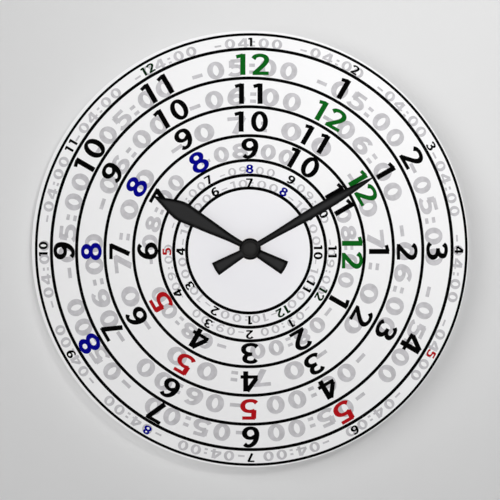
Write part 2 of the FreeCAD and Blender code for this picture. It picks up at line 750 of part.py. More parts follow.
def make_rear_cover():
    """The snap-on rear shell: a bearing rib and a rim inside, a knob well and the hanging tab."""
    body = new_body("rear_cover")
    plate = new_sketch(body, WALL_PLANE)
    add_box(plate, f"-{HALF_CASE}", HALF_CASE, BAY_TOP, HALF_CASE)
    pad(body, plate, "Sizes.cover_thickness")
    round_edges(body, "Sizes.case_corner", lambda middle, edge: upright_edge(edge) and middle.y > 0)
    tab = new_sketch(body, WALL_PLANE)
    half_tab = "Sizes.tab_width / 2"
    add_box(tab, f"-{half_tab}", half_tab, f"{HALF_CASE} - Sizes.case_corner", TAB_MIDDLE)
    pad(body, tab, "Sizes.cover_thickness")
    tab_front = new_sketch(body, WALL_PLANE)
    add_box(tab_front, f"-{half_tab}", half_tab, f"{HALF_CASE} + Sizes.seat_gap", TAB_MIDDLE)
    pad(body, tab_front, "Sizes.tab_thickness")
    crown = new_sketch(body, WALL_PLANE)
    add_circle(crown, half_tab, ("0", TAB_MIDDLE))
    pad(body, crown, "Sizes.tab_thickness")
    rim = new_sketch(body, COVER_INSIDE)
    outer = f"({INSIDE} - Sizes.seat_gap)"
    outer_low = f"({CHAMBER_LOW} + Sizes.seat_gap)"
    inner = f"({outer} - Sizes.cover_rim_wall)"
    add_box(rim, f"-{outer}", outer, outer_low, outer)
    add_box(rim, f"-{inner}", inner, f"{outer_low} + Sizes.cover_rim_wall", inner)
    pad(body, rim, "Sizes.cover_rim")
    rib = new_sketch(body, COVER_INSIDE)
    edge = "Sizes.socket_width / 2"
    left, high = f"{THIRD_AXIS[0]} - {edge}", f"{THIRD_AXIS[1]} + {edge}"
    right, middle = f"{ROTOR_AXIS[0]} + {edge}", f"{ROTOR_AXIS[1]} + {edge}"
    add_outline(rib, (
        (left, f"-{edge}"), (right, f"-{edge}"), (right, middle), (edge, middle), (edge, high), (left, high),
    ))
    pad(body, rib, "Sizes.socket_rise")
    well = new_sketch(body, WALL_PLANE)
    well_half = f"({half('knob_diameter')} + Sizes.well_room + Sizes.well_wall)"
    add_box(
        well, f"{KNOB_AXIS[0]} - {well_half}", f"{KNOB_AXIS[0]} + {well_half}",
        f"{KNOB_AXIS[1]} - {well_half}", f"{KNOB_AXIS[1]} + {well_half}",
    )
    pad(body, well, f"{WELL_FLOOR} + Sizes.well_wall - {WALL_PLANE}")
    recess = new_sketch(body, WALL_PLANE)
    add_circle(recess, half("knob_diameter", "Sizes.well_room"), KNOB_AXIS)
    pocket(body, recess, f"{WELL_FLOOR} - {WALL_PLANE}", forward=True)
    shaft = new_sketch(body, WELL_FLOOR)
    add_circle(shaft, half("knob_shaft", "Sizes.running_gap"), KNOB_AXIS)
    pocket(body, shaft, "Sizes.well_wall", forward=True)
    holes = new_sketch(body, SOCKET_TOP)
    for place in (CENTRE, THIRD_AXIS, FIFTH_AXIS, ROTOR_AXIS):
        add_circle(holes, half("pin_diameter", "Sizes.running_gap"), place)
    pocket(body, holes, "Sizes.pivot_hole_depth")
    keyhole = new_sketch(body, WALL_PLANE)
    add_circle(keyhole, half("hang_hole"), ("0", HANG_HEIGHT))
    pocket(body, keyhole, "Sizes.tab_thickness", forward=True)
    half_slot = "Sizes.hang_slot / 2"
    slot_top = f"({HANG_HEIGHT} + Sizes.hang_slot_rise)"
    slot = new_sketch(body, WALL_PLANE)
    add_box(slot, f"-{half_slot}", half_slot, HANG_HEIGHT, slot_top)
    pocket(body, slot, "Sizes.tab_thickness", forward=True)
    slot_end = new_sketch(body, WALL_PLANE)
    add_circle(slot_end, half_slot, ("0", slot_top))
    pocket(body, slot_end, "Sizes.tab_thickness", forward=True)
    stand(body)


# Setting gears and the going train


def arbor(name, back, front, radius=half("pin_diameter")):
    return cylinder(f"{name}_arbor", radius, back, front)


def bored(name, solids, radius, back, front):
    """Solids fused and bored through along the arbor."""
    hole = cylinder(f"{name}_bore", radius, f"({back} - Sizes.overrun)", f"({front} + Sizes.overrun)")
    whole = fuse(f"{name}_whole", solids) if len(solids) > 1 else solids[0]
    return cut(name, whole, hole)


def make_rotor():
    magnet_back = f"({STATOR_FRONT} - Sizes.stator_thickness / 2 - Sizes.magnet_length / 2)"
    body = new_body("rotor_magnet")
    sketch = new_sketch(body, magnet_back)
    add_circle(sketch, half("magnet_diameter"))
    add_circle(sketch, half("pin_diameter"))
    pad(body, sketch, "Sizes.magnet_length")
    stand(body, ROTOR_AXIS)
    length = "Sizes.wheel_thickness + 2 * (Sizes.fifth_wheel_level - Sizes.rotor_pinion_level)"
    back = f"{behind('rotor_pinion_level')} - ({length})"
    pinion = gear("rotor_teeth", "rotor_teeth", ROTOR_MODULE, 0, back, length)
    pivoted("rotor_pinion", ROTOR_AXIS, [pinion, arbor("rotor", REAR_PIVOT, FRONT_PIVOT)])


def make_wheel(name, place, wheel, pinion, pinion_level, wheel_level, ends):
    """A wheel with a pinion on its front face, fused on one arbor. A gear is (teeth, module, phase)."""
    wheel_front = behind(wheel_level)
    plate = gear(
        f"{name}_plate", *wheel, f"({wheel_front} - Sizes.wheel_thickness)", "Sizes.wheel_thickness"
    )
    leaves = gear(f"{name}_leaves", *pinion, wheel_front, f"Sizes.{wheel_level} - Sizes.{pinion_level}")
    pivoted(name, place, [plate, leaves, arbor(name, *ends)])


def make_going_train():
    make_wheel(
        "fifth_wheel", FIFTH_AXIS,
        ("fifth_teeth", ROTOR_MODULE, FIFTH_PHASE), ("fifth_pinion_teeth", FIFTH_MODULE, 0),
        "fifth_pinion_level", "fifth_wheel_level", (REAR_PIVOT, FRONT_PIVOT),
    )
    make_wheel(
        "second_wheel", CENTRE,
        ("second_teeth", FIFTH_MODULE, SECOND_PHASE), ("second_pinion_teeth", SECOND_MODULE, 0),
        "second_pinion_level", "second_wheel_level", (REAR_PIVOT, f"({ARBOR_END} - Sizes.hand_gap)"),
    )
    make_wheel(
        "third_wheel", THIRD_AXIS,
        ("third_teeth", SECOND_MODULE, THIRD_PHASE), ("third_pinion_teeth", THIRD_MODULE, 0),
        "third_pinion_level", "third_wheel_level", (REAR_PIVOT, FRONT_PIVOT),
    )
    front = behind("minute_wheel_level")
    back = f"({front} - Sizes.wheel_thickness)"
    plate = gear(
        "minute_wheel_plate", "minute_teeth", THIRD_MODULE, MINUTE_PHASE, back, "Sizes.wheel_thickness"
    )
    hub = cylinder("minute_wheel_hub", half("minute_flange_diameter"), back, front)
    room = half("minute_arbor_diameter", "Sizes.running_gap")
    stand(bored("minute_wheel", [plate, hub], room, back, front))


def make_minute_arbor():
    """The hollow arbor with its cannon pinion, and the flange behind the minute wheel."""
    wheel_back = f"({behind('minute_wheel_level')} - Sizes.wheel_thickness)"
    flange_front = f"({wheel_back} - Sizes.minute_flange_thickness / 2)"
    back = f"({flange_front} - Sizes.minute_flange_thickness)"
    tube = arbor("minute_arbor", back, ARBOR_END, half("minute_arbor_diameter"))
    flange = cylinder("minute_arbor_flange", half("minute_flange_diameter"), back, flange_front)
    cannon_back = f"({behind('cannon_level')} - Sizes.cannon_length)"
    cannon = gear("cannon", "cannon_teeth", CANNON_MODULE, 0, cannon_back, "Sizes.cannon_length")
    room = half("pin_diameter", "Sizes.running_gap")
    stand(bored("minute_arbor", [tube, flange, cannon], room, back, ARBOR_END))


def make_setting_gears():
    make_wheel(
        "transmission_wheel", MOTION_AXIS,
        ("motion_teeth", CANNON_MODULE, MOTION_PHASE), ("motion_pinion_teeth", HOUR_MODULE, 0),
        "motion_pinion_level", "motion_wheel_level", (FRONT_PIVOT, FLOOR_PIVOT),
    )
    back = f"({behind('hour_wheel_level')} - Sizes.hour_wheel_thickness)"
    plate = gear(
        "hour_wheel_plate", "hour_teeth", HOUR_MODULE, HOUR_PHASE, back, "Sizes.hour_wheel_thickness"
    )
    pipe = arbor("hour_wheel", back, HOUR_PIPE_END, half("hour_pipe_diameter"))
    room = half("minute_arbor_diameter", "Sizes.running_gap")
    stand(bored("hour_wheel", [plate, pipe], room, back, HOUR_PIPE_END))
    gear_back = f"({behind('cannon_level')} - Sizes.cannon_length)"
    rim = gear("setting_gear_rim", "knob_teeth", CANNON_MODULE, KNOB_PHASE, gear_back, "Sizes.cannon_length")
    shaft_room = half("knob_shaft")
    stand(bored("setting_gear", [rim], shaft_room, gear_back, behind("cannon_level")), KNOB_AXIS)


def make_setting_knob():
    """A knob with V-shaped notches on a shaft that ends in a thin pivot in the case floor."""
    body = new_body("setting_knob")
    head = new_sketch(body, KNOB_BACK)
    add_circle(head, half("knob_diameter"))
    pad(body, head, "Sizes.knob_height")
    notch = new_sketch(body, KNOB_BACK)
    deep, out = half("knob_diameter", "-Sizes.knob_notch"), half("knob_diameter", "Sizes.knob_notch")
    add_outline(notch, ((deep, "0"), (out, "-2 * Sizes.knob_notch"), (out, "2 * Sizes.knob_notch")))
    first = pocket(body, notch, "Sizes.knob_height", forward=True)
    pattern = body.newObject("PartDesign::PolarPattern", "setting_knob_pattern")
    pattern.Originals = [first]
    pattern.Axis = (notch, ["N_Axis"])
    pattern.Angle = 360
    pattern.setExpression("Occurrences", "Sizes.knob_notches")
    body.Tip = pattern
    doc.recompute()
    shaft = new_sketch(body, KNOB_FRONT)
    add_circle(shaft, half("knob_shaft"))
    pad(body, shaft, f"{behind('cannon_level')} - {KNOB_FRONT}")
    pivot = new_sketch(body, behind("cannon_level"))
    add_circle(pivot, half("pin_diameter"))
    pad(body, pivot, f"{FLOOR_PIVOT} - {behind('cannon_level')}")
    stand(body, KNOB_AXIS)


# Stepper motor


def make_stator():
    """A plate round the rotor with two legs that reach up to the coil's core."""
    body = new_body("stator")
    x, y = ROTOR_AXIS
    left = f"({x} - Sizes.stator_bore / 2 - Sizes.stator_bridge)"
    right = f"({x} + Sizes.stator_reach)"
    low = f"({y} - Sizes.stator_reach)"
    shoulder = f"({y} + Sizes.stator_shoulder)"
    band = f"({shoulder} + Sizes.stator_band)"
    top = "(Sizes.coil_height + Sizes.core_width / 2)"
    left_inner = f"({COIL_LEFT} + Sizes.leg_width)"
    right_inner = f"({COIL_RIGHT} - Sizes.leg_width)"
    sketch = new_sketch(body, CORE_FRONT)
    add_outline(sketch, (
        (left, low), (right, low), (right, shoulder), (COIL_RIGHT, shoulder), (COIL_RIGHT, top),
        (right_inner, top), (right_inner, band), (left_inner, band), (left_inner, top),
        (COIL_LEFT, top), (COIL_LEFT, shoulder), (left, shoulder),
    ))
    add_circle(sketch, half("stator_bore"), ROTOR_AXIS)
    add_squares(sketch, "peg_width", COIL_POSTS)
    pad(body, sketch, "Sizes.stator_thickness")
    stand(body)


def make_coil():
    """The flat iron core, the square bobbin on it and the winding between the bobbin's flanges."""
    low = "(Sizes.coil_height - Sizes.core_width / 2)"
    high = "(Sizes.coil_height + Sizes.core_width / 2)"
    core = new_body("coil_core")
    bar = new_sketch(core, CORE_BACK)
    add_box(bar, COIL_LEFT, COIL_RIGHT, low, high)
    add_squares(bar, "peg_width", COIL_POSTS)
    pad(core, bar, "Sizes.core_thickness")
    stand(core)
    core_middle = f"({CORE_BACK} + Sizes.core_thickness / 2)"
    left = f"({COIL_LEFT} + Sizes.leg_width + Sizes.seat_gap)"
    right = f"({COIL_RIGHT} - Sizes.leg_width - Sizes.seat_gap)"
    flange_left = f"({left} + Sizes.bobbin_flange_thickness)"
    flange_right = f"({right} - Sizes.bobbin_flange_thickness)"

    def block(body, side, start, end):
        """A square length along x about the core."""
        sketch = new_sketch(body, start, "YZ_Plane", core_middle)
        add_squares(sketch, side, (("Sizes.coil_height", "0"),))
        pad(body, sketch, f"{end} - {start}")

    bobbin = new_body("coil_bobbin")
    block(bobbin, "bobbin_tube", left, right)
    block(bobbin, "bobbin_flange", left, flange_left)
    block(bobbin, "bobbin_flange", flange_right, right)
    slot = new_sketch(bobbin, right, "YZ_Plane", core_middle)
    half_core = "Sizes.core_thickness / 2"
    add_box(slot, low, high, f"-{half_core}", half_core)
    pocket(bobbin, slot, f"{right} - {left}")
    stand(bobbin)
    winding = new_body("coil_winding")
    block(winding, "winding_width", flange_left, flange_right)
    chamfer_edges(winding, "Sizes.winding_chamfer", lambda middle, edge: lengthwise_edge(edge))
    hollow = new_sketch(winding, flange_right, "YZ_Plane", core_middle)
    add_squares(hollow, "bobbin_tube", (("Sizes.coil_height", "0"),))
    pocket(winding, hollow, f"{flange_right} - {flange_left}")
    stand(winding)


# Electronics


def make_circuit_board():
    body = new_body("circuit_board")
    sketch = new_sketch(body, BOARD_BACK)
    low = f"({CHAMBER_LOW} + Sizes.contact_thickness)"
    high = f"({INSIDE} - Sizes.board_top_room)"
    add_box(sketch, BOARD_LEFT, f"({BOARD_LEFT} + Sizes.board_width)", low, high)
    add_squares(sketch, "peg_width", BOARD_POSTS)
    pad(body, sketch, "Sizes.board_thickness")
    stand(body)


def make_chip_dome():
    body = new_body("chip_dome")
    sketch = new_sketch(body, BOARD_BACK)
    add_circle(sketch, half("chip_diameter"), (BOARD_MIDDLE, "Sizes.chip_y"))
    pad(body, sketch, "Sizes.chip_height", rearward=True)
    stand(body)


def make_quartz_crystal():
    body = new_body("quartz_crystal")
    height = f"({BOARD_BACK} - Sizes.crystal_diameter / 2)"
    sketch = new_sketch(body, "-Sizes.crystal_y", "XZ_Plane", height)
    add_circle(sketch, half("crystal_diameter"), (BOARD_MIDDLE, "0"))
    pad(body, sketch, "Sizes.crystal_length", rearward=True)
    stand(body)


# Cell and contacts


def make_positive_contact():
    """A plate at the bay's right end whose tail runs along the partition to the board."""
    body = new_body("positive_contact")
    strip = "Sizes.contact_thickness"
    inner = f"({INSIDE} - {strip})"
    middle = f"({CELL_Z} - Sizes.contact_width / 2)"
    plate = new_sketch(body, middle)
    low = f"({CELL_Y} - Sizes.contact_plate / 2)"
    add_box(plate, inner, INSIDE, low, f"({CELL_Y} + Sizes.contact_plate / 2)")
    pad(body, plate, "Sizes.contact_width")
    tail = new_sketch(body, behind("tail_level"))
    end = f"({BOARD_LEFT} + Sizes.board_width / 2)"
    inside_low = f"({CHAMBER_LOW} + {strip})"
    add_outline(tail, (
        (inner, CELL_Y), (INSIDE, CELL_Y), (INSIDE, inside_low), (end, inside_low), (end, CHAMBER_LOW),
        (inner, CHAMBER_LOW),
    ))
    pad(body, tail, "Sizes.tail_width", rearward=True)
    stand(body)


def make_negative_contact():
    """A plate at the bay's left end with a bent tongue that presses on the cell, and a short tail."""
    body = new_body("negative_contact")
    strip = "Sizes.contact_thickness"
    inner = f"({strip} - {INSIDE})"
    low = f"({CELL_Y} - Sizes.contact_plate / 2)"
    high = f"({CELL_Y} + Sizes.contact_plate / 2)"
    crest = f"({CELL_LEFT} - Sizes.cell_contact_gap)"
    leaf = new_sketch(body, f"({CELL_Z} - Sizes.contact_width / 2)")
    add_outline(leaf, (
        (f"-{INSIDE}", low), (f"({inner} + {strip})", low), (crest, CELL_Y),
        (f"({inner} + 3 * {strip})", high), (f"({inner} + 2 * {strip})", high),
        (f"({crest} - {strip})", CELL_Y), (inner, f"({low} + 2 * {strip})"), (inner, high),
        (f"-{INSIDE}", high),
    ))
    pad(body, leaf, "Sizes.contact_width")
    tail = new_sketch(body, behind("tail_level"))
    end = f"({CHAMBER_LOW} + Sizes.tail_run)"
    add_box(tail, f"-{INSIDE}", inner, CELL_Y, end)
    pad(body, tail, "Sizes.tail_width", rearward=True)
    stand(body)


def make_aa_battery():
    """One cell, turned about its length, with its raised end to the right."""
    body = new_body("aa_battery")
    sketch = new_sketch(body, CELL_Z, rise=CELL_Y)
    radius, nub = half("cell_diameter"), half("nub_diameter")
    shoulder = f"({CELL_RIGHT} - Sizes.nub_length)"
    add_outline(sketch, (
        (CELL_LEFT, "0"), (CELL_LEFT, radius), (f"{shoulder} - Sizes.cell_round", radius),
        (shoulder, f"{radius} - Sizes.cell_round"), (shoulder, nub), (CELL_RIGHT, nub), (CELL_RIGHT, "0"),
    ))
    revolve(body, sketch, "H_Axis")
    stand(body)


make_dial_disc()
make_ring("rubber_gasket", half("gasket_diameter"), half("bush_diameter", "Sizes.bush_gap"), CASE_FRONT,
          "Sizes.gasket_thickness")
make_ring("brass_washer", half("washer_diameter"), half("bush_diameter", "Sizes.bush_gap"),
          "Sizes.dial_thickness", "Sizes.washer_thickness")
make_hex_nut()
make_hand("hour", HOUR_BLADE_SHARES, HOUR_HAND_BACK, "hour_pipe_diameter")
make_hand("minute", MINUTE_BLADE_SHARES, MINUTE_HAND_BACK, "minute_arbor_diameter")
make_hand_cap()
make_front_case()
make_middle_plate()
make_rear_cover()
make_rotor()
make_going_train()
make_minute_arbor()
make_setting_gears()
make_setting_knob()
make_stator()
make_coil()
make_circuit_board()
make_chip_dome()
make_quartz_crystal()
make_positive_contact()
make_negative_contact()
make_aa_battery()

doc.recompute()
for item in doc.Objects:
    if {"Invalid", "Error"} & set(item.State):
        raise ValueError(f"{item.Label} failed: {item.State}")
os.makedirs("parts", exist_ok=True)
for piece in pieces:
    if piece.Shape.isNull() or not piece.Shape.isValid():
        raise ValueError(f"{piece.Label} has no valid shape")
    piece.Shape.exportStep(f"parts/{piece.Label}.step")
    box = piece.Shape.BoundBox
    print(f"{piece.Label}: {len(piece.Shape.Solids)} solid, {piece.Shape.Volume:.1f} mm3, "
          f"{box.XLength:.1f} x {box.YLength:.1f} x {box.ZLength:.1f} mm")
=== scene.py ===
"""Looks for the world time clock: print on the dial, materials for every piece, wall, lamps and camera."""

import functools
import json
import math

import bpy
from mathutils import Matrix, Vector
from mathutils.geometry import delaunay_2d_cdt


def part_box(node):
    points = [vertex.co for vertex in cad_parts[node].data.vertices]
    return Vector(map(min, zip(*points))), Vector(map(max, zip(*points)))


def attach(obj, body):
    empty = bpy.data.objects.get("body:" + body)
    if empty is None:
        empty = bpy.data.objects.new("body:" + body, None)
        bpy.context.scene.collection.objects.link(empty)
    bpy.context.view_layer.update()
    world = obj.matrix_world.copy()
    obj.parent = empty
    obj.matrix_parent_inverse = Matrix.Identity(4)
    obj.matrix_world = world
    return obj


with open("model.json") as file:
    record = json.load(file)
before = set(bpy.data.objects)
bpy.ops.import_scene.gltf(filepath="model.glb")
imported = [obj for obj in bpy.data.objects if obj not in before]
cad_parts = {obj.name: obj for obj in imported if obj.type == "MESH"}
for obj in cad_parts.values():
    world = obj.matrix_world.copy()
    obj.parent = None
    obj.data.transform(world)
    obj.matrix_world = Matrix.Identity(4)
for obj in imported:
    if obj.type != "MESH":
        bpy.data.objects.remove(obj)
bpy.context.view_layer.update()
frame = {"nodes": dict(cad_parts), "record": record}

MM = 0.001
DIAL_LOW, DIAL_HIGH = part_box("dial_disc")
CENTRE_X = (DIAL_LOW[0] + DIAL_HIGH[0]) / 2
CENTRE_Z = (DIAL_LOW[2] + DIAL_HIGH[2]) / 2
FACE_Y = DIAL_LOW[1]


# Objects and meshes


def add_object(name, data):
    """A new object in the scene, for a mesh, a lamp or a camera."""
    new_object = bpy.data.objects.new(name, data)
    bpy.context.scene.collection.objects.link(new_object)
    return new_object


def add_mesh(name, verts, faces, material):
    """A new object with one mesh, from its vertices in metres, and one material."""
    mesh = bpy.data.meshes.new(name)
    mesh.from_pydata(verts, [], faces)
    mesh.materials.append(material)
    mesh.validate()
    mesh.update()
    return add_object(name, mesh)


def on_dial(right, up, lift):
    """A point in metres, from millimetres right of and above the dial's centre and off its face."""
    return (CENTRE_X + right * MM, FACE_Y - lift * MM, CENTRE_Z + up * MM)


class Print:
    """Flat shapes of one ink, each raised to a thin closed solid on the dial's face."""

    def __init__(self, thickness):
        self.thickness = thickness
        self.verts = []
        self.faces = []

    def add(self, points, triangles):
        """One flat shape: its points in millimetres and its triangles, counter-clockwise from the front."""
        base = len(self.verts)
        count = len(points)
        self.verts += [on_dial(x, y, self.thickness) for x, y in points]
        self.verts += [on_dial(x, y, 0.0) for x, y in points]
        rims = set()
        for a, b, c in triangles:
            self.faces.append((base + a, base + b, base + c))
            self.faces.append((base + count + c, base + count + b, base + count + a))
            rims |= {(a, b), (b, c), (c, a)}
        for a, b in rims:
            if (b, a) not in rims:
                self.faces.append((base + b, base + a, base + count + a, base + count + b))

    def make_piece(self, name, material):
        """Make the shapes one piece that rides with the dial."""
        piece = add_mesh(name, self.verts, self.faces, material)
        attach(piece, "clock")


# Characters

# How wide each character is, then its strokes, all as shares of its height; a ring has a middle and two radii
LETTER_SHARES = {
    "0": (0.78, [("ring", (0.39, 0.5), (0.275, 0.43))]),
    "1": (0.43, [("line", [(0.03, 0.845), (0.325, 0.93)]), ("line", [(0.325, 0.99), (0.325, 0.0)])]),
    "2": (0.78, [
        ("curve", [(0.075, 0.76), (0.18, 0.88), (0.38, 0.925), (0.585, 0.865), (0.665, 0.715), (0.59, 0.54),
                   (0.43, 0.37), (0.26, 0.205), (0.12, 0.075)]),
        ("line", [(0.045, 0.078), (0.76, 0.078)]),
    ]),
    "3": (0.76, [
        ("curve", [(0.085, 0.80), (0.20, 0.905), (0.40, 0.925), (0.575, 0.855), (0.605, 0.715), (0.50, 0.59),
                   (0.27, 0.54)]),
        ("curve", [(0.27, 0.54), (0.51, 0.505), (0.645, 0.40), (0.66, 0.25), (0.555, 0.125), (0.35, 0.07),
                   (0.16, 0.10), (0.05, 0.19)]),
    ]),
    "4": (0.80, [
        ("line", [(0.50, 0.97), (0.06, 0.335)]), ("line", [(0.0, 0.275), (0.80, 0.275)]),
        ("line", [(0.56, 0.985), (0.56, 0.0)]),
    ]),
    "5": (0.76, [
        ("line", [(0.12, 0.915), (0.70, 0.915)]), ("line", [(0.18, 0.945), (0.165, 0.52)]),
        ("curve", [(0.13, 0.55), (0.33, 0.595), (0.55, 0.55), (0.665, 0.415), (0.655, 0.24), (0.53, 0.115),
                   (0.32, 0.07), (0.14, 0.105), (0.045, 0.19)]),
    ]),
    "6": (0.78, [
        ("curve", [(0.665, 0.825), (0.56, 0.905), (0.40, 0.90), (0.24, 0.775), (0.145, 0.57), (0.12, 0.33),
                   (0.19, 0.15), (0.36, 0.075), (0.55, 0.12), (0.655, 0.26), (0.635, 0.42), (0.51, 0.53),
                   (0.34, 0.54), (0.18, 0.45)]),
    ]),
    "7": (0.76, [("line", [(0.03, 0.90), (0.74, 0.90)]), ("line", [(0.665, 0.925), (0.27, 0.0)])]),
    "8": (0.78, [("ring", (0.39, 0.73), (0.235, 0.19)), ("ring", (0.39, 0.29), (0.285, 0.22))]),
    "-": (0.62, [("line", [(0.06, 0.42), (0.56, 0.42)])]),
    ":": (0.30, [("line", [(0.15, 0.10), (0.15, 0.30)]), ("line", [(0.15, 0.52), (0.15, 0.72)])]),
}

# Nibs: half their width and half their height, as shares of the character's height
BOLD_SHARES = (0.116, 0.082)
SMALL_BOLD_SHARES = (0.132, 0.088)
GREY_SHARES = (0.135, 0.108)
EDGE_GREY_SHARES = (0.118, 0.094)
SMALL_GREY_SHARES = (0.092, 0.072)

# The gap inside a number of two digits, and how far some numbers sit clockwise of their hour, in heights
GAP_SHARES = {"10": 0.37, "11": 0.44, "12": 0.30}
SHIFT_SHARES = {"1": -0.12, "10": 0.09, "11": -0.04, "12": 0.08}

# Numbers are widened by one factor, grey characters until they fill a share of their arc or reach the widest
NUMBER_WIDENING = 1.06
WIDEST_GREY = 1.5
FILLED_SHARE = 0.78

# Steps round a ring and from one point of a curve to the next
RING_STEPS = 28
CURVE_STEPS = 5

# Points closer than this are joined when a character's strokes are cut into triangles
MERGE_SHARE = 0.00001

# Blender's number for triangles all the way out to the hull; those outside every stroke are then left out
TRIANGLES_TO_HULL = 0


def turned_half_round(letter):
    """The width and strokes of a character of one curve, turned half round."""
    width, ((kind, points),) = LETTER_SHARES[letter]
    return (width, [(kind, [(width - x, 1 - y) for x, y in points])])


LETTER_SHARES["9"] = turned_half_round("6")


def between(a, b, c, d, t):
    """The value at a share t of the way from b to c on a Catmull-Rom curve through four values."""
    square = (2 * a - 5 * b + 4 * c - d) * t * t
    cube = (3 * b - a - 3 * c + d) * t ** 3
    return (2 * b + (c - a) * t + square + cube) / 2


def smooth(points):
    """More points, along a Catmull-Rom curve through the given ones."""
    first = [2 * a - b for a, b in zip(points[0], points[1])]
    last = [2 * a - b for a, b in zip(points[-1], points[-2])]
    knots = [first, *points, last]
    out = []
    for four in zip(knots, knots[1:], knots[2:], knots[3:]):
        for step in range(CURVE_STEPS):
            out.append(tuple(between(*values, step / CURVE_STEPS) for values in zip(*four)))
    return out + [points[-1]]


def middle_line(stroke):
    """The points along the middle of a stroke, and whether it closes on itself."""
    kind, *shape = stroke
    if kind == "ring":
        (x, y), (half_width, half_height) = shape
        turns = [math.tau * k / RING_STEPS for k in range(RING_STEPS)]
        return [(x + half_width * math.cos(turn), y + half_height * math.sin(turn)) for turn in turns], True
    if kind == "curve":
        return smooth(shape[0]), False
    return shape[0], False


def ribbon(points, closed, nib):
    """The left and the right side of a stroke that an oval nib draws along points."""
    left, right = [], []
    count = len(points)
    for index, (x, y) in enumerate(points):
        before = points[index - 1] if closed or index else points[index]
        after = points[(index + 1) % count] if closed or index < count - 1 else points[index]
        along = Vector((after[0] - before[0], after[1] - before[1])).normalized()
        across = Vector((-along.y, along.x))
        reach = math.hypot(nib[0] * across.x, nib[1] * across.y)
        left.append((x + across.x * reach, y + across.y * reach))
        right.append((x - across.x * reach, y - across.y * reach))
    return left, right


@functools.cache
def outline(letter, nib):
    """One character as points and triangles, in heights, with its overlapping strokes made one shape."""
    verts, quads = [], []
    for stroke in LETTER_SHARES[letter][1]:
        points, closed = middle_line(stroke)
        left, right = ribbon(points, closed, nib)
        base, count = len(verts), len(points)
        verts += left + right
        for k in range(count if closed else count - 1):
            after = (k + 1) % count
            quads.append([base + k, base + count + k, base + count + after, base + after])
    vectors = [Vector(corner) for corner in verts]
    merged, _, corners, _, _, sources = delaunay_2d_cdt(vectors, [], quads, TRIANGLES_TO_HULL, MERGE_SHARE)
    triangles = []
    for triangle, source in zip(corners, sources):
        if source:
            a, b, c = (merged[k] for k in triangle)
            turn = (b - a).cross(c - a)
            triangles.append(tuple(triangle) if turn > 0 else tuple(reversed(triangle)))
    used = sorted({k for triangle in triangles for k in triangle})
    place = {k: n for n, k in enumerate(used)}
    return [tuple(merged[k]) for k in used], [tuple(place[k] for k in triangle) for triangle in triangles]


def draw(target, letter, nib, widening, x, angle, ring):
    """Add a character to a print, with its foot on a ring and its left side x along from an angle's line."""
    foot, height, centre = ring
    sin, cos = math.sin(angle), math.cos(angle)
    points, triangles = outline(letter, nib)
    out = []
    for across_share, up_share in points:
        across = x + across_share * height * widening
        up = foot + up_share * height
        out.append((centre[0] + across * cos + up * sin, centre[1] - across * sin + up * cos))
    target.add(out, triangles)


def number(target, text, nib, angle, ring):
    """A straight number with its feet towards the centre, at an angle clockwise from the top."""
    _, height, _ = ring
    widths = [LETTER_SHARES[letter][0] * NUMBER_WIDENING for letter in text]
    gap = GAP_SHARES.get(text, 0.0)
    x = SHIFT_SHARES.get(text, 0.0) - (sum(widths) + gap) / 2
    for letter, width in zip(text, widths):
        draw(target, letter, nib, NUMBER_WIDENING, x * height, angle, ring)
        x += width + gap


def arched(target, text, nib, angle, reach, ring):
    """Characters spread evenly along an arc of some reach, with its middle at an angle."""
    foot, height, _ = ring
    middle = foot + height / 2
    length = reach * middle / height
    natural = sum(LETTER_SHARES[letter][0] for letter in text)
    widening = min(FILLED_SHARE * length / natural, WIDEST_GREY)
    gap = (length - widening * natural) / (len(text) - 1)
    x = -length / 2
    for letter in text:
        width = LETTER_SHARES[letter][0] * widening
        turn = angle + (x + width / 2) * height / middle
        draw(target, letter, nib, widening, -width * height / 2, turn, ring)
        x += width + gap


# Materials

# The texture values that stand for the lower and the higher of two colours or roughnesses, where a call
# gives none of its own, and the share by which roughness varies in most finishes
TEXTURE_LOW = 0.35
TEXTURE_HIGH = 0.65
ROUGHNESS_SWING = 0.12


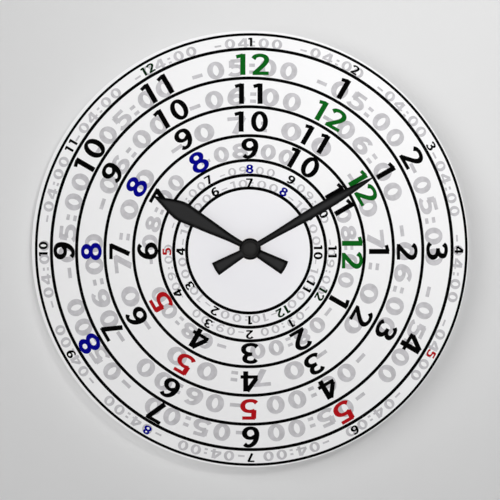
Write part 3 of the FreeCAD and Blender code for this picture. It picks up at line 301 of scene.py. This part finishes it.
class Look:
    """A material with one principled shader, and what makes the nodes that feed it."""

    def __init__(self, name, colour, roughness, metallic=0.0, specular=0.5):
        self.material = bpy.data.materials.new(name)
        self.material.use_nodes = True
        self.nodes = self.material.node_tree.nodes
        self.link = self.material.node_tree.links.new
        self.shader = self.nodes["Principled BSDF"]
        self.shader.inputs["Base Color"].default_value = (*colour, 1)
        self.shader.inputs["Roughness"].default_value = roughness
        self.shader.inputs["Metallic"].default_value = metallic
        self.shader.inputs["Specular IOR Level"].default_value = specular

    def place(self, scale=(1, 1, 1), shift=(0, 0, 0)):
        """Places in metres in the clock's frame, scaled along each axis and shifted."""
        source = self.nodes.new("ShaderNodeTexCoord")
        mapping = self.nodes.new("ShaderNodeMapping")
        mapping.inputs["Location"].default_value = shift
        mapping.inputs["Scale"].default_value = scale
        self.link(source.outputs["Object"], mapping.inputs["Vector"])
        return mapping.outputs["Vector"]

    def noise(self, scale, detail=4.0, stretch=(1, 1, 1)):
        """Noise of so many grains a metre."""
        texture = self.nodes.new("ShaderNodeTexNoise")
        texture.inputs["Scale"].default_value = scale
        texture.inputs["Detail"].default_value = detail
        self.link(self.place(stretch), texture.inputs["Vector"])
        return texture.outputs[0]

    def colours(self, source, low, high, start=TEXTURE_LOW, end=TEXTURE_HIGH):
        """Spread the base colour between two colours by a source."""
        ramp = self.nodes.new("ShaderNodeValToRGB")
        for stop, position, colour in zip(ramp.color_ramp.elements, (start, end), (low, high)):
            stop.position = position
            stop.color = (*colour, 1)
        self.link(source, ramp.inputs["Fac"])
        self.link(ramp.outputs["Color"], self.shader.inputs["Base Color"])

    def roughness(self, source, low, high):
        """Spread the roughness between two values by a source."""
        reach = self.nodes.new("ShaderNodeMapRange")
        reach.inputs["From Min"].default_value = TEXTURE_LOW
        reach.inputs["From Max"].default_value = TEXTURE_HIGH
        reach.inputs["To Min"].default_value = low
        reach.inputs["To Max"].default_value = high
        self.link(source, reach.inputs["Value"])
        self.link(reach.outputs["Result"], self.shader.inputs["Roughness"])

    def relief(self, source, strength, depth):
        """Fine relief by a source, of a depth in metres; returns the socket for the normal under it."""
        rise = self.nodes.new("ShaderNodeBump")
        rise.inputs["Strength"].default_value = strength
        rise.inputs["Distance"].default_value = depth
        self.link(source, rise.inputs["Height"])
        self.link(rise.outputs["Normal"], self.shader.inputs["Normal"])
        return rise.inputs["Normal"]

    def vector(self, operation, *values):
        """The result of one operation on vectors, each of them fixed or another node's output."""
        node = self.nodes.new("ShaderNodeVectorMath")
        node.operation = operation
        for socket, value in zip(node.inputs, values):
            if isinstance(value, tuple):
                socket.default_value = value
            else:
                self.link(value, socket)
        return node.outputs["Value" if operation == "DOT_PRODUCT" else "Vector"]


def varied(name, colour, roughness, scale, swing, strength, depth, metallic=0.0, specular=0.5,
           stretch=(1, 1, 1)):
    """A surface whose colour, roughness and fine relief vary a little at one scale."""
    look = Look(name, colour, roughness, metallic, specular)
    cloud = look.noise(scale, stretch=stretch)
    darker = tuple(c * (1 - swing) for c in colour)
    lighter = tuple(min(c * (1 + swing), 1.0) for c in colour)
    look.colours(cloud, darker, lighter)
    look.roughness(cloud, roughness * (1 - ROUGHNESS_SWING), min(roughness * (1 + ROUGHNESS_SWING), 1.0))
    look.relief(cloud, strength, depth)
    return look.material


def brushed(name, colour, roughness, stretch):
    """Rolled or turned metal with fine parallel marks, which lie across its largest stretch."""
    return varied(name, colour, roughness, scale=700.0, swing=0.10, strength=0.25, depth=0.02 * MM,
                  metallic=1.0, stretch=stretch)


# Satin black paint with painted shade along its edges: the colour of that painted shade, how far an edge
# reaches and how finely it is looked for
PAINTED_EDGE_SHADE = (0.0012, 0.0012, 0.0012)
EDGE_REACH = 3.0 * MM
EDGE_SAMPLES = 16


def edge_paint(name, colour, crown, darkest, plain):
    """Satin black paint with painted shade along its edges, whose sheen also catches the light as a crowned
    sheet does.

    Near an edge the cosine between the rounded and the flat normal falls below 1. The paint has its full
    colour from the plain cosine up. Below that, painted shade darkens it towards the edge, as where an edge
    turns from the light, until it is at its darkest from the lower cosine down. Crown is how many times the
    rounding is deepened."""
    look = Look(name, colour, 0.46, specular=0.08)
    cloud = look.noise(1400.0)
    look.roughness(cloud, 0.42, 0.50)
    under_relief = look.relief(cloud, 0.12, 0.01 * MM)
    bevel = look.nodes.new("ShaderNodeBevel")
    bevel.samples = EDGE_SAMPLES
    bevel.inputs["Radius"].default_value = EDGE_REACH
    rounded = bevel.outputs["Normal"]
    flat = look.nodes.new("ShaderNodeNewGeometry").outputs["True Normal"]
    lean = look.vector("SUBTRACT", rounded, flat)
    crowned = look.vector("MULTIPLY_ADD", lean, (crown, crown, crown), flat)
    look.link(look.vector("NORMALIZE", crowned), under_relief)
    # Painted shade: the colour falls to near black towards each edge, as where an edge turns from the light
    look.colours(look.vector("DOT_PRODUCT", rounded, flat), PAINTED_EDGE_SHADE, colour, darkest, plain)
    return look.material


# The dial is a trace cooler inside this radius
COOL_REACH = 56.5 * MM


def acrylic():
    """White acrylic: a trace cooler towards the middle, with the faintest polish marks."""
    look = Look("printed_acrylic", (0.88, 0.88, 0.885), 0.45, specular=0.2)
    ball = look.nodes.new("ShaderNodeTexGradient")
    ball.gradient_type = "SPHERICAL"
    scale = (1 / COOL_REACH, 0, 1 / COOL_REACH)
    shift = (-CENTRE_X / COOL_REACH, 0, -CENTRE_Z / COOL_REACH)
    look.link(look.place(scale, shift), ball.inputs["Vector"])
    look.colours(ball.outputs[0], (0.882, 0.879, 0.885), (0.852, 0.846, 0.874), 0.0, 0.5)
    cloud = look.noise(900.0, detail=3.0)
    look.roughness(cloud, 0.41, 0.50)
    look.relief(cloud, 0.05, 0.01 * MM)
    return look.material


def winding_copper():
    """Enamelled wire: fine turns side by side along the coil, with painted shade in the grooves between them
    and a painted highlight on their tops.
    """
    look = Look("copper_wire", (0.72, 0.30, 0.13), 0.28, metallic=0.9)
    turns_and_groove_shade = look.nodes.new("ShaderNodeTexWave")
    turns_and_groove_shade.bands_direction = "X"
    turns_and_groove_shade.inputs["Scale"].default_value = 1600.0
    turns_and_groove_shade.inputs["Distortion"].default_value = 0.4
    look.link(look.place(), turns_and_groove_shade.inputs["Vector"])
    # Painted shade and highlight: darker where the turns' relief is lowest, in the grooves, and lighter on
    # their tops
    look.colours(turns_and_groove_shade.outputs[0], (0.42, 0.15, 0.06), (0.80, 0.36, 0.16), 0.2, 0.8)
    look.relief(turns_and_groove_shade.outputs[0], 0.5, 0.08 * MM)
    return look.material


def laminate():
    """Tan board with darker fibres."""
    look = Look("board_laminate", (0.45, 0.33, 0.14), 0.5)
    fibres = look.noise(500.0, detail=6.0, stretch=(1, 1, 0.15))
    look.colours(fibres, (0.34, 0.23, 0.09), (0.52, 0.38, 0.17))
    look.roughness(fibres, 0.42, 0.6)
    look.relief(fibres, 0.2, 0.03 * MM)
    return look.material


# The cell's colours, each from a share of its length on: bare end, dark, copper, dark line, bare end
SLEEVE_SHARES = {
    0.0: (0.62, 0.61, 0.58),
    0.015: (0.045, 0.045, 0.05),
    0.70: (0.66, 0.40, 0.20),
    0.965: (0.045, 0.045, 0.05),
    0.979: (0.68, 0.67, 0.64),
}


def sleeve():
    """The cell's plain sleeve: dark along most of its length, with a copper-coloured end."""
    low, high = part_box("aa_battery")
    look = Look("cell_sleeve", (0.05, 0.05, 0.055), 0.3)
    apart = look.nodes.new("ShaderNodeSeparateXYZ")
    along = look.nodes.new("ShaderNodeMapRange")
    along.inputs["From Min"].default_value = low[0]
    along.inputs["From Max"].default_value = high[0]
    ramp = look.nodes.new("ShaderNodeValToRGB")
    look.link(look.place(), apart.inputs["Vector"])
    look.link(apart.outputs["X"], along.inputs["Value"])
    look.link(along.outputs["Result"], ramp.inputs["Fac"])
    look.link(ramp.outputs["Color"], look.shader.inputs["Base Color"])
    bands = ramp.color_ramp
    bands.interpolation = "CONSTANT"
    for position, colour in SLEEVE_SHARES.items():
        bands.elements.new(position).color = (*colour, 1)
    bands.elements.remove(bands.elements[0])
    cloud = look.noise(260.0)
    look.roughness(cloud, 0.24, 0.38)
    look.relief(cloud, 0.08, 0.03 * MM)
    return look.material


# Plain finishes: colour, roughness, grains a metre, swing of colour, relief's strength and depth, metallic
FINISHES = {
    "rubber_black": ((0.035, 0.035, 0.036), 0.75, 900.0, 0.15, 0.5, 0.04 * MM, 0.0),
    "case_black": ((0.032, 0.032, 0.034), 0.55, 2200.0, 0.14, 0.45, 0.03 * MM, 0.0),
    "gear_white": ((0.78, 0.77, 0.73), 0.40, 600.0, 0.03, 0.12, 0.01 * MM, 0.0),
    "gear_amber": ((0.70, 0.49, 0.17), 0.38, 600.0, 0.05, 0.12, 0.01 * MM, 0.0),
    "gear_black": ((0.045, 0.045, 0.046), 0.45, 900.0, 0.12, 0.2, 0.02 * MM, 0.0),
    "magnet_grey": ((0.11, 0.11, 0.12), 0.6, 1200.0, 0.2, 0.5, 0.03 * MM, 0.4),
    "bobbin_plastic": ((0.09, 0.09, 0.10), 0.5, 800.0, 0.12, 0.2, 0.02 * MM, 0.0),
    "chip_resin": ((0.018, 0.018, 0.019), 0.33, 500.0, 0.2, 0.3, 0.05 * MM, 0.0),
}

# Brushed metals: colour, roughness, and how much finer the marks are along each axis
METALS = {
    "plain_brass": ((0.80, 0.60, 0.27), 0.26, (1, 6, 1)),
    "stator_steel": ((0.56, 0.56, 0.58), 0.36, (1, 1, 12)),
    "crystal_can": ((0.66, 0.66, 0.68), 0.22, (1, 1, 10)),
    "contact_nickel": ((0.66, 0.65, 0.61), 0.28, (10, 1, 1)),
}

# Satin black paints with painted shade along their edges: colour, crown, and the cosines where the painted
# shade is deepest and where the paint is plain
EDGE_SHADED_PAINTS = {
    "black_painted_aluminium": ((0.018, 0.018, 0.0185), 6.0, 0.91, 0.985),
    "black_cap": ((0.017, 0.0165, 0.0162), 1.0, 0.80, 0.98),
}

materials = {name: varied(name, *finish) for name, finish in FINISHES.items()}
materials |= {name: brushed(name, *finish) for name, finish in METALS.items()}
materials |= {name: edge_paint(name, *finish) for name, finish in EDGE_SHADED_PAINTS.items()}
materials |= {
    "printed_acrylic": acrylic(),
    "copper_wire": winding_copper(),
    "board_laminate": laminate(),
    "cell_sleeve": sleeve(),
}

for part in frame["record"]["subparts"]:
    for socket in frame["nodes"][part["node"]].material_slots:
        socket.material = materials[part["material_slot"]]


# Print on the dial, in millimetres and degrees; a centre is right of and above the dial's own

# The printed circles between the rings, as measured: radius and centre
CIRCLES = (
    (39.03, (-0.70, -0.97)), (47.56, (-0.28, -1.37)), (56.45, (-0.28, -0.97)), (72.22, (-0.71, -1.37)),
    (90.23, (-0.64, -1.31)), (108.23, (-0.29, -1.35)), (125.26, (0.98, -0.14)),
)
LINE_WIDTH = 1.95

# The circle at the rim, with a finer line
RIM_RADIUS = 134.48
RIM_CENTRE = (0.70, -0.34)
RIM_LINE_WIDTH = 1.65
CIRCLE_STEPS = 240

# The rings of hours, from the outside: the hour at the top, then the ring's foot radius, height and centre
HOUR_RINGS = (
    (1, (127.2, 5.5, (0.6, -0.6))), (12, (109.9, 13.3, (0.3, -1.1))), (11, (92.3, 12.9, (-0.6, -1.6))),
    (10, (74.9, 12.8, (-0.6, -1.6))), (9, (57.6, 12.9, (-0.2, -1.2))), (8, (49.1, 5.4, (-0.3, -1.7))),
    (7, (40.3, 5.4, (-0.5, -1.5))),
)
HOURS = 12
HOUR_TURN = 360 / HOURS

# Numbers from this height on are drawn with the large nib, and the 12 among them is in the lighter green
LARGE_HEIGHT = 10.0

# Grey offsets from universal time round the same centres: text, how many, where the first one's middle is,
# from one to the next, the reach of each, foot radius and height
OFFSETS = (
    ("-04:00", 15, -0.9, 24.0, 19.0, 126.4, 6.0), ("-05:00", 9, -2.25, 40.0, 33.5, 109.6, 10.3),
    ("-06:00", 7, -2.0, 51.43, 42.2, 91.9, 10.6), ("-07:00", 4, 0.2, 90.0, 77.5, 74.2, 10.4),
    ("-08:00", 5, 83.5, 68.6, 55.0, 58.2, 9.1), ("-09:00", 7, -2.0, 51.43, 40.0, 48.4, 5.1),
    ("-10:00", 6, 0.0, 60.0, 50.0, 39.8, 5.1),
)
# Grey text is drawn with the large nib from this height on, and with the edge's nib from this radius on
LARGE_GREY_HEIGHT = 7.0
EDGE_GREY_FOOT = 120.0

INK_COLOURS = {
    "black": (0.0006, 0.0006, 0.0006),
    "green": (0.004, 0.112, 0.010),
    "red": (0.43, 0.007, 0.011),
    "blue": (0.0015, 0.0015, 0.235),
    "deep_green": (0.002, 0.020, 0.004),
    "grey": (0.545, 0.535, 0.555),
}
SPECIAL_INKS = {12: "green", 5: "red", 8: "blue"}
INK_THICKNESS = 0.05
GREY_THICKNESS = 0.03


def ink(name):
    """Matt ink: the grey is a little uneven, in patches that show, and the others only in fine grains."""
    scale, swing = (240.0, 0.09) if name == "grey" else (1800.0, 0.05)
    return varied(f"ink_{name}", INK_COLOURS[name], roughness=0.6, scale=scale, swing=swing, strength=0.05,
                  depth=0.005 * MM, specular=0.012)


def print_hours(prints):
    """Twelve hour numbers in each ring; the 12 is green, and a very dark green where it is small."""
    for top, ring in HOUR_RINGS:
        _, height, _ = ring
        large = height >= LARGE_HEIGHT
        nib = BOLD_SHARES if large else SMALL_BOLD_SHARES
        for step in range(HOURS):
            hour = (top + step - 1) % HOURS + 1
            name = SPECIAL_INKS.get(hour, "black")
            if name == "green" and not large:
                name = "deep_green"
            number(prints[name], str(hour), nib, math.radians(HOUR_TURN * step), ring)


def print_offsets(target):
    """The grey offsets from universal time, in equal steps along each ring."""
    for (text, repeats, first, turn, reach, foot, height), (_, (_, _, centre)) in zip(OFFSETS, HOUR_RINGS):
        nib = GREY_SHARES if height >= LARGE_GREY_HEIGHT else SMALL_GREY_SHARES
        if foot >= EDGE_GREY_FOOT:
            nib = EDGE_GREY_SHARES
        for step in range(repeats):
            angle = math.radians(first + turn * step)
            arched(target, text, nib, angle, math.radians(reach), (foot, height, centre))


def print_circle(target, radius, width, centre):
    """A circle with a line of some width, its points in pairs clockwise from the top, the inner one first."""
    points, triangles = [], []
    for k in range(CIRCLE_STEPS):
        turn = math.tau * k / CIRCLE_STEPS
        for r in (radius - width / 2, radius + width / 2):
            points.append((centre[0] + r * math.sin(turn), centre[1] + r * math.cos(turn)))
        inner, outer = 2 * k, 2 * k + 1
        next_inner, next_outer = ((n + 2) % (2 * CIRCLE_STEPS) for n in (inner, outer))
        triangles += [(next_outer, outer, inner), (next_inner, next_outer, inner)]
    target.add(points, triangles)


sheets = {name: Print(GREY_THICKNESS if name == "grey" else INK_THICKNESS) for name in INK_COLOURS}
print_hours(sheets)
print_offsets(sheets["grey"])
for radius, centre in CIRCLES:
    print_circle(sheets["black"], radius, LINE_WIDTH, centre)
print_circle(sheets["black"], RIM_RADIUS, RIM_LINE_WIDTH, RIM_CENTRE)
for name, sheet in sheets.items():
    sheet.make_piece(f"dial_print_{name}", ink(name))


# Wall and floor, in metres

ROOM_HALF_WIDTH = 3.0
ROOM_HALF_DEPTH = 4.0
FLOOR_Z = -0.7
WALL_TOP_Z = 2.5
WALL_Y = 0.4 * MM
ROOM_GREY = (0.72, 0.72, 0.72)


def plane(name, corners, material, shades=True):
    """A flat piece of the room; one that doesn't shade lets the lamps behind it light the clock's back."""
    piece = add_mesh(name, corners, [(0, 1, 2, 3)], material)
    piece.visible_shadow = shades


def wall_paint():
    """Matt paint that is clear from behind, so that the clock's back shows in views from there."""
    look = Look("wall_paint", ROOM_GREY, 0.9, specular=0.0)
    clear = look.nodes.new("ShaderNodeBsdfTransparent")
    side = look.nodes.new("ShaderNodeNewGeometry")
    mix = look.nodes.new("ShaderNodeMixShader")
    look.link(side.outputs["Backfacing"], mix.inputs["Fac"])
    look.link(look.shader.outputs["BSDF"], mix.inputs[1])
    look.link(clear.outputs["BSDF"], mix.inputs[2])
    look.link(mix.outputs["Shader"], look.nodes["Material Output"].inputs["Surface"])
    return look.material


wall_corners = [
    (-ROOM_HALF_WIDTH, WALL_Y, FLOOR_Z), (ROOM_HALF_WIDTH, WALL_Y, FLOOR_Z),
    (ROOM_HALF_WIDTH, WALL_Y, WALL_TOP_Z), (-ROOM_HALF_WIDTH, WALL_Y, WALL_TOP_Z),
]
floor_corners = [
    (-ROOM_HALF_WIDTH, -ROOM_HALF_DEPTH, FLOOR_Z), (ROOM_HALF_WIDTH, -ROOM_HALF_DEPTH, FLOOR_Z),
    (ROOM_HALF_WIDTH, ROOM_HALF_DEPTH, FLOOR_Z), (-ROOM_HALF_WIDTH, ROOM_HALF_DEPTH, FLOOR_Z),
]
plane("wall", wall_corners, wall_paint(), shades=False)
plane("floor", floor_corners, Look("floor_paint", ROOM_GREY, 0.9, specular=0.1).material)


# Lamps, world and camera, in metres from the middle of the dial

# Round lamps: right of, off the wall from and above the dial's middle, then power in watts and size across
LAMPS = {
    "key": ((-1.4, 2.1, 0.38), 27.8, 2.0),
    "fill": ((0.25, 2.2, 0.0), 8.2, 0.25),
    "back_left": ((-0.9, -1.4, 0.7), 5.4, 1.2),
    "back_right": ((0.9, -1.3, 0.2), 3.2, 1.2),
}

# A spot that brightens the wall at the upper right of the clock
GLOW_PLACE = (0.32, 1.57, 0.52)
GLOW_TARGET = (0.14, 0, 0.19)
GLOW_POWER = 51.0
GLOW_DEGREES = 29.0
GLOW_RADIUS = 0.2

# These pieces shade nothing in these lamps' light, because the photograph shows next to no shadow of them
UNSHADED_LAMPS = ("key", "glow")
UNSHADING_NODES = ("hour_hand", "minute_hand", "hand_cap")

AMBIENT_LIGHT = 0.09
BACKDROP_GREY = (0.86, 0.86, 0.86)

# The camera's sensor and lens in millimetres, its place, and where its view starts
SENSOR_WIDTH = 36.0
FOCAL_LENGTH = 138.2
CAMERA_OFF_FACE = 1.2
CAMERA_LEFT = 0.1 * MM
CAMERA_BELOW = 0.63 * MM
VIEW_START = 0.01


def from_dial(right, off, up):
    """A place right of, off the wall from and above the middle of the dial."""
    return (CENTRE_X + right, -off, CENTRE_Z + up)


def hang(name, light, place, target=(0, 0, 0)):
    """Put a lamp at a place and turn it to a target; some lamps' light passes the hands."""
    piece = add_object(name, light)
    piece.location = from_dial(*place)
    aim = Vector(from_dial(*target)) - Vector(from_dial(*place))
    piece.rotation_euler = aim.to_track_quat("-Z", "Y").to_euler()
    if name in UNSHADED_LAMPS:
        passed = bpy.data.collections.new(f"{name}_passes")
        for node in UNSHADING_NODES:
            passed.objects.link(frame["nodes"][node])
        piece.light_linking.blocker_collection = passed
        for entry in passed.collection_objects:
            entry.light_linking.link_state = "EXCLUDE"


def round_lamp(name, place, power, size):
    """A round area lamp that points at the middle of the dial."""
    light = bpy.data.lights.new(name, "AREA")
    light.shape = "DISK"
    light.size = size
    light.energy = power
    hang(name, light, place)


def glow_lamp():
    """The spot, with an edge that is soft all the way."""
    light = bpy.data.lights.new("glow", "SPOT")
    light.energy = GLOW_POWER
    light.spot_size = math.radians(GLOW_DEGREES)
    light.spot_blend = 1.0
    light.shadow_soft_size = GLOW_RADIUS
    hang("glow", light, GLOW_PLACE, GLOW_TARGET)


def studio_world():
    """Dim even light, which the camera itself sees as a pale backdrop."""
    world = bpy.data.worlds.new("studio")
    world.use_nodes = True
    nodes, links = world.node_tree.nodes, world.node_tree.links
    ambient = nodes["Background"]
    ambient.inputs["Color"].default_value = (1, 1, 1, 1)
    ambient.inputs["Strength"].default_value = AMBIENT_LIGHT
    backdrop = nodes.new("ShaderNodeBackground")
    backdrop.inputs["Color"].default_value = (*BACKDROP_GREY, 1)
    rays = nodes.new("ShaderNodeLightPath")
    mix = nodes.new("ShaderNodeMixShader")
    links.new(rays.outputs["Is Camera Ray"], mix.inputs["Fac"])
    links.new(ambient.outputs["Background"], mix.inputs[1])
    links.new(backdrop.outputs["Background"], mix.inputs[2])
    links.new(mix.outputs["Shader"], nodes["World Output"].inputs["Surface"])
    bpy.context.scene.world = world


def photograph_camera():
    """The camera at the photograph's viewing angle, straight in front of the dial."""
    camera = bpy.data.cameras.new("camera")
    camera.sensor_width = SENSOR_WIDTH
    camera.lens = FOCAL_LENGTH
    camera.clip_start = VIEW_START
    seat = add_object("camera", camera)
    seat.location = (CENTRE_X - CAMERA_LEFT, FACE_Y - CAMERA_OFF_FACE, CENTRE_Z - CAMERA_BELOW)
    seat.rotation_euler = (math.pi / 2, 0, 0)
    bpy.context.scene.camera = seat


for name, (place, power, size) in LAMPS.items():
    round_lamp(name, place, power, size)
glow_lamp()
studio_world()
photograph_camera()
bpy.context.scene.view_settings.view_transform = "Standard"
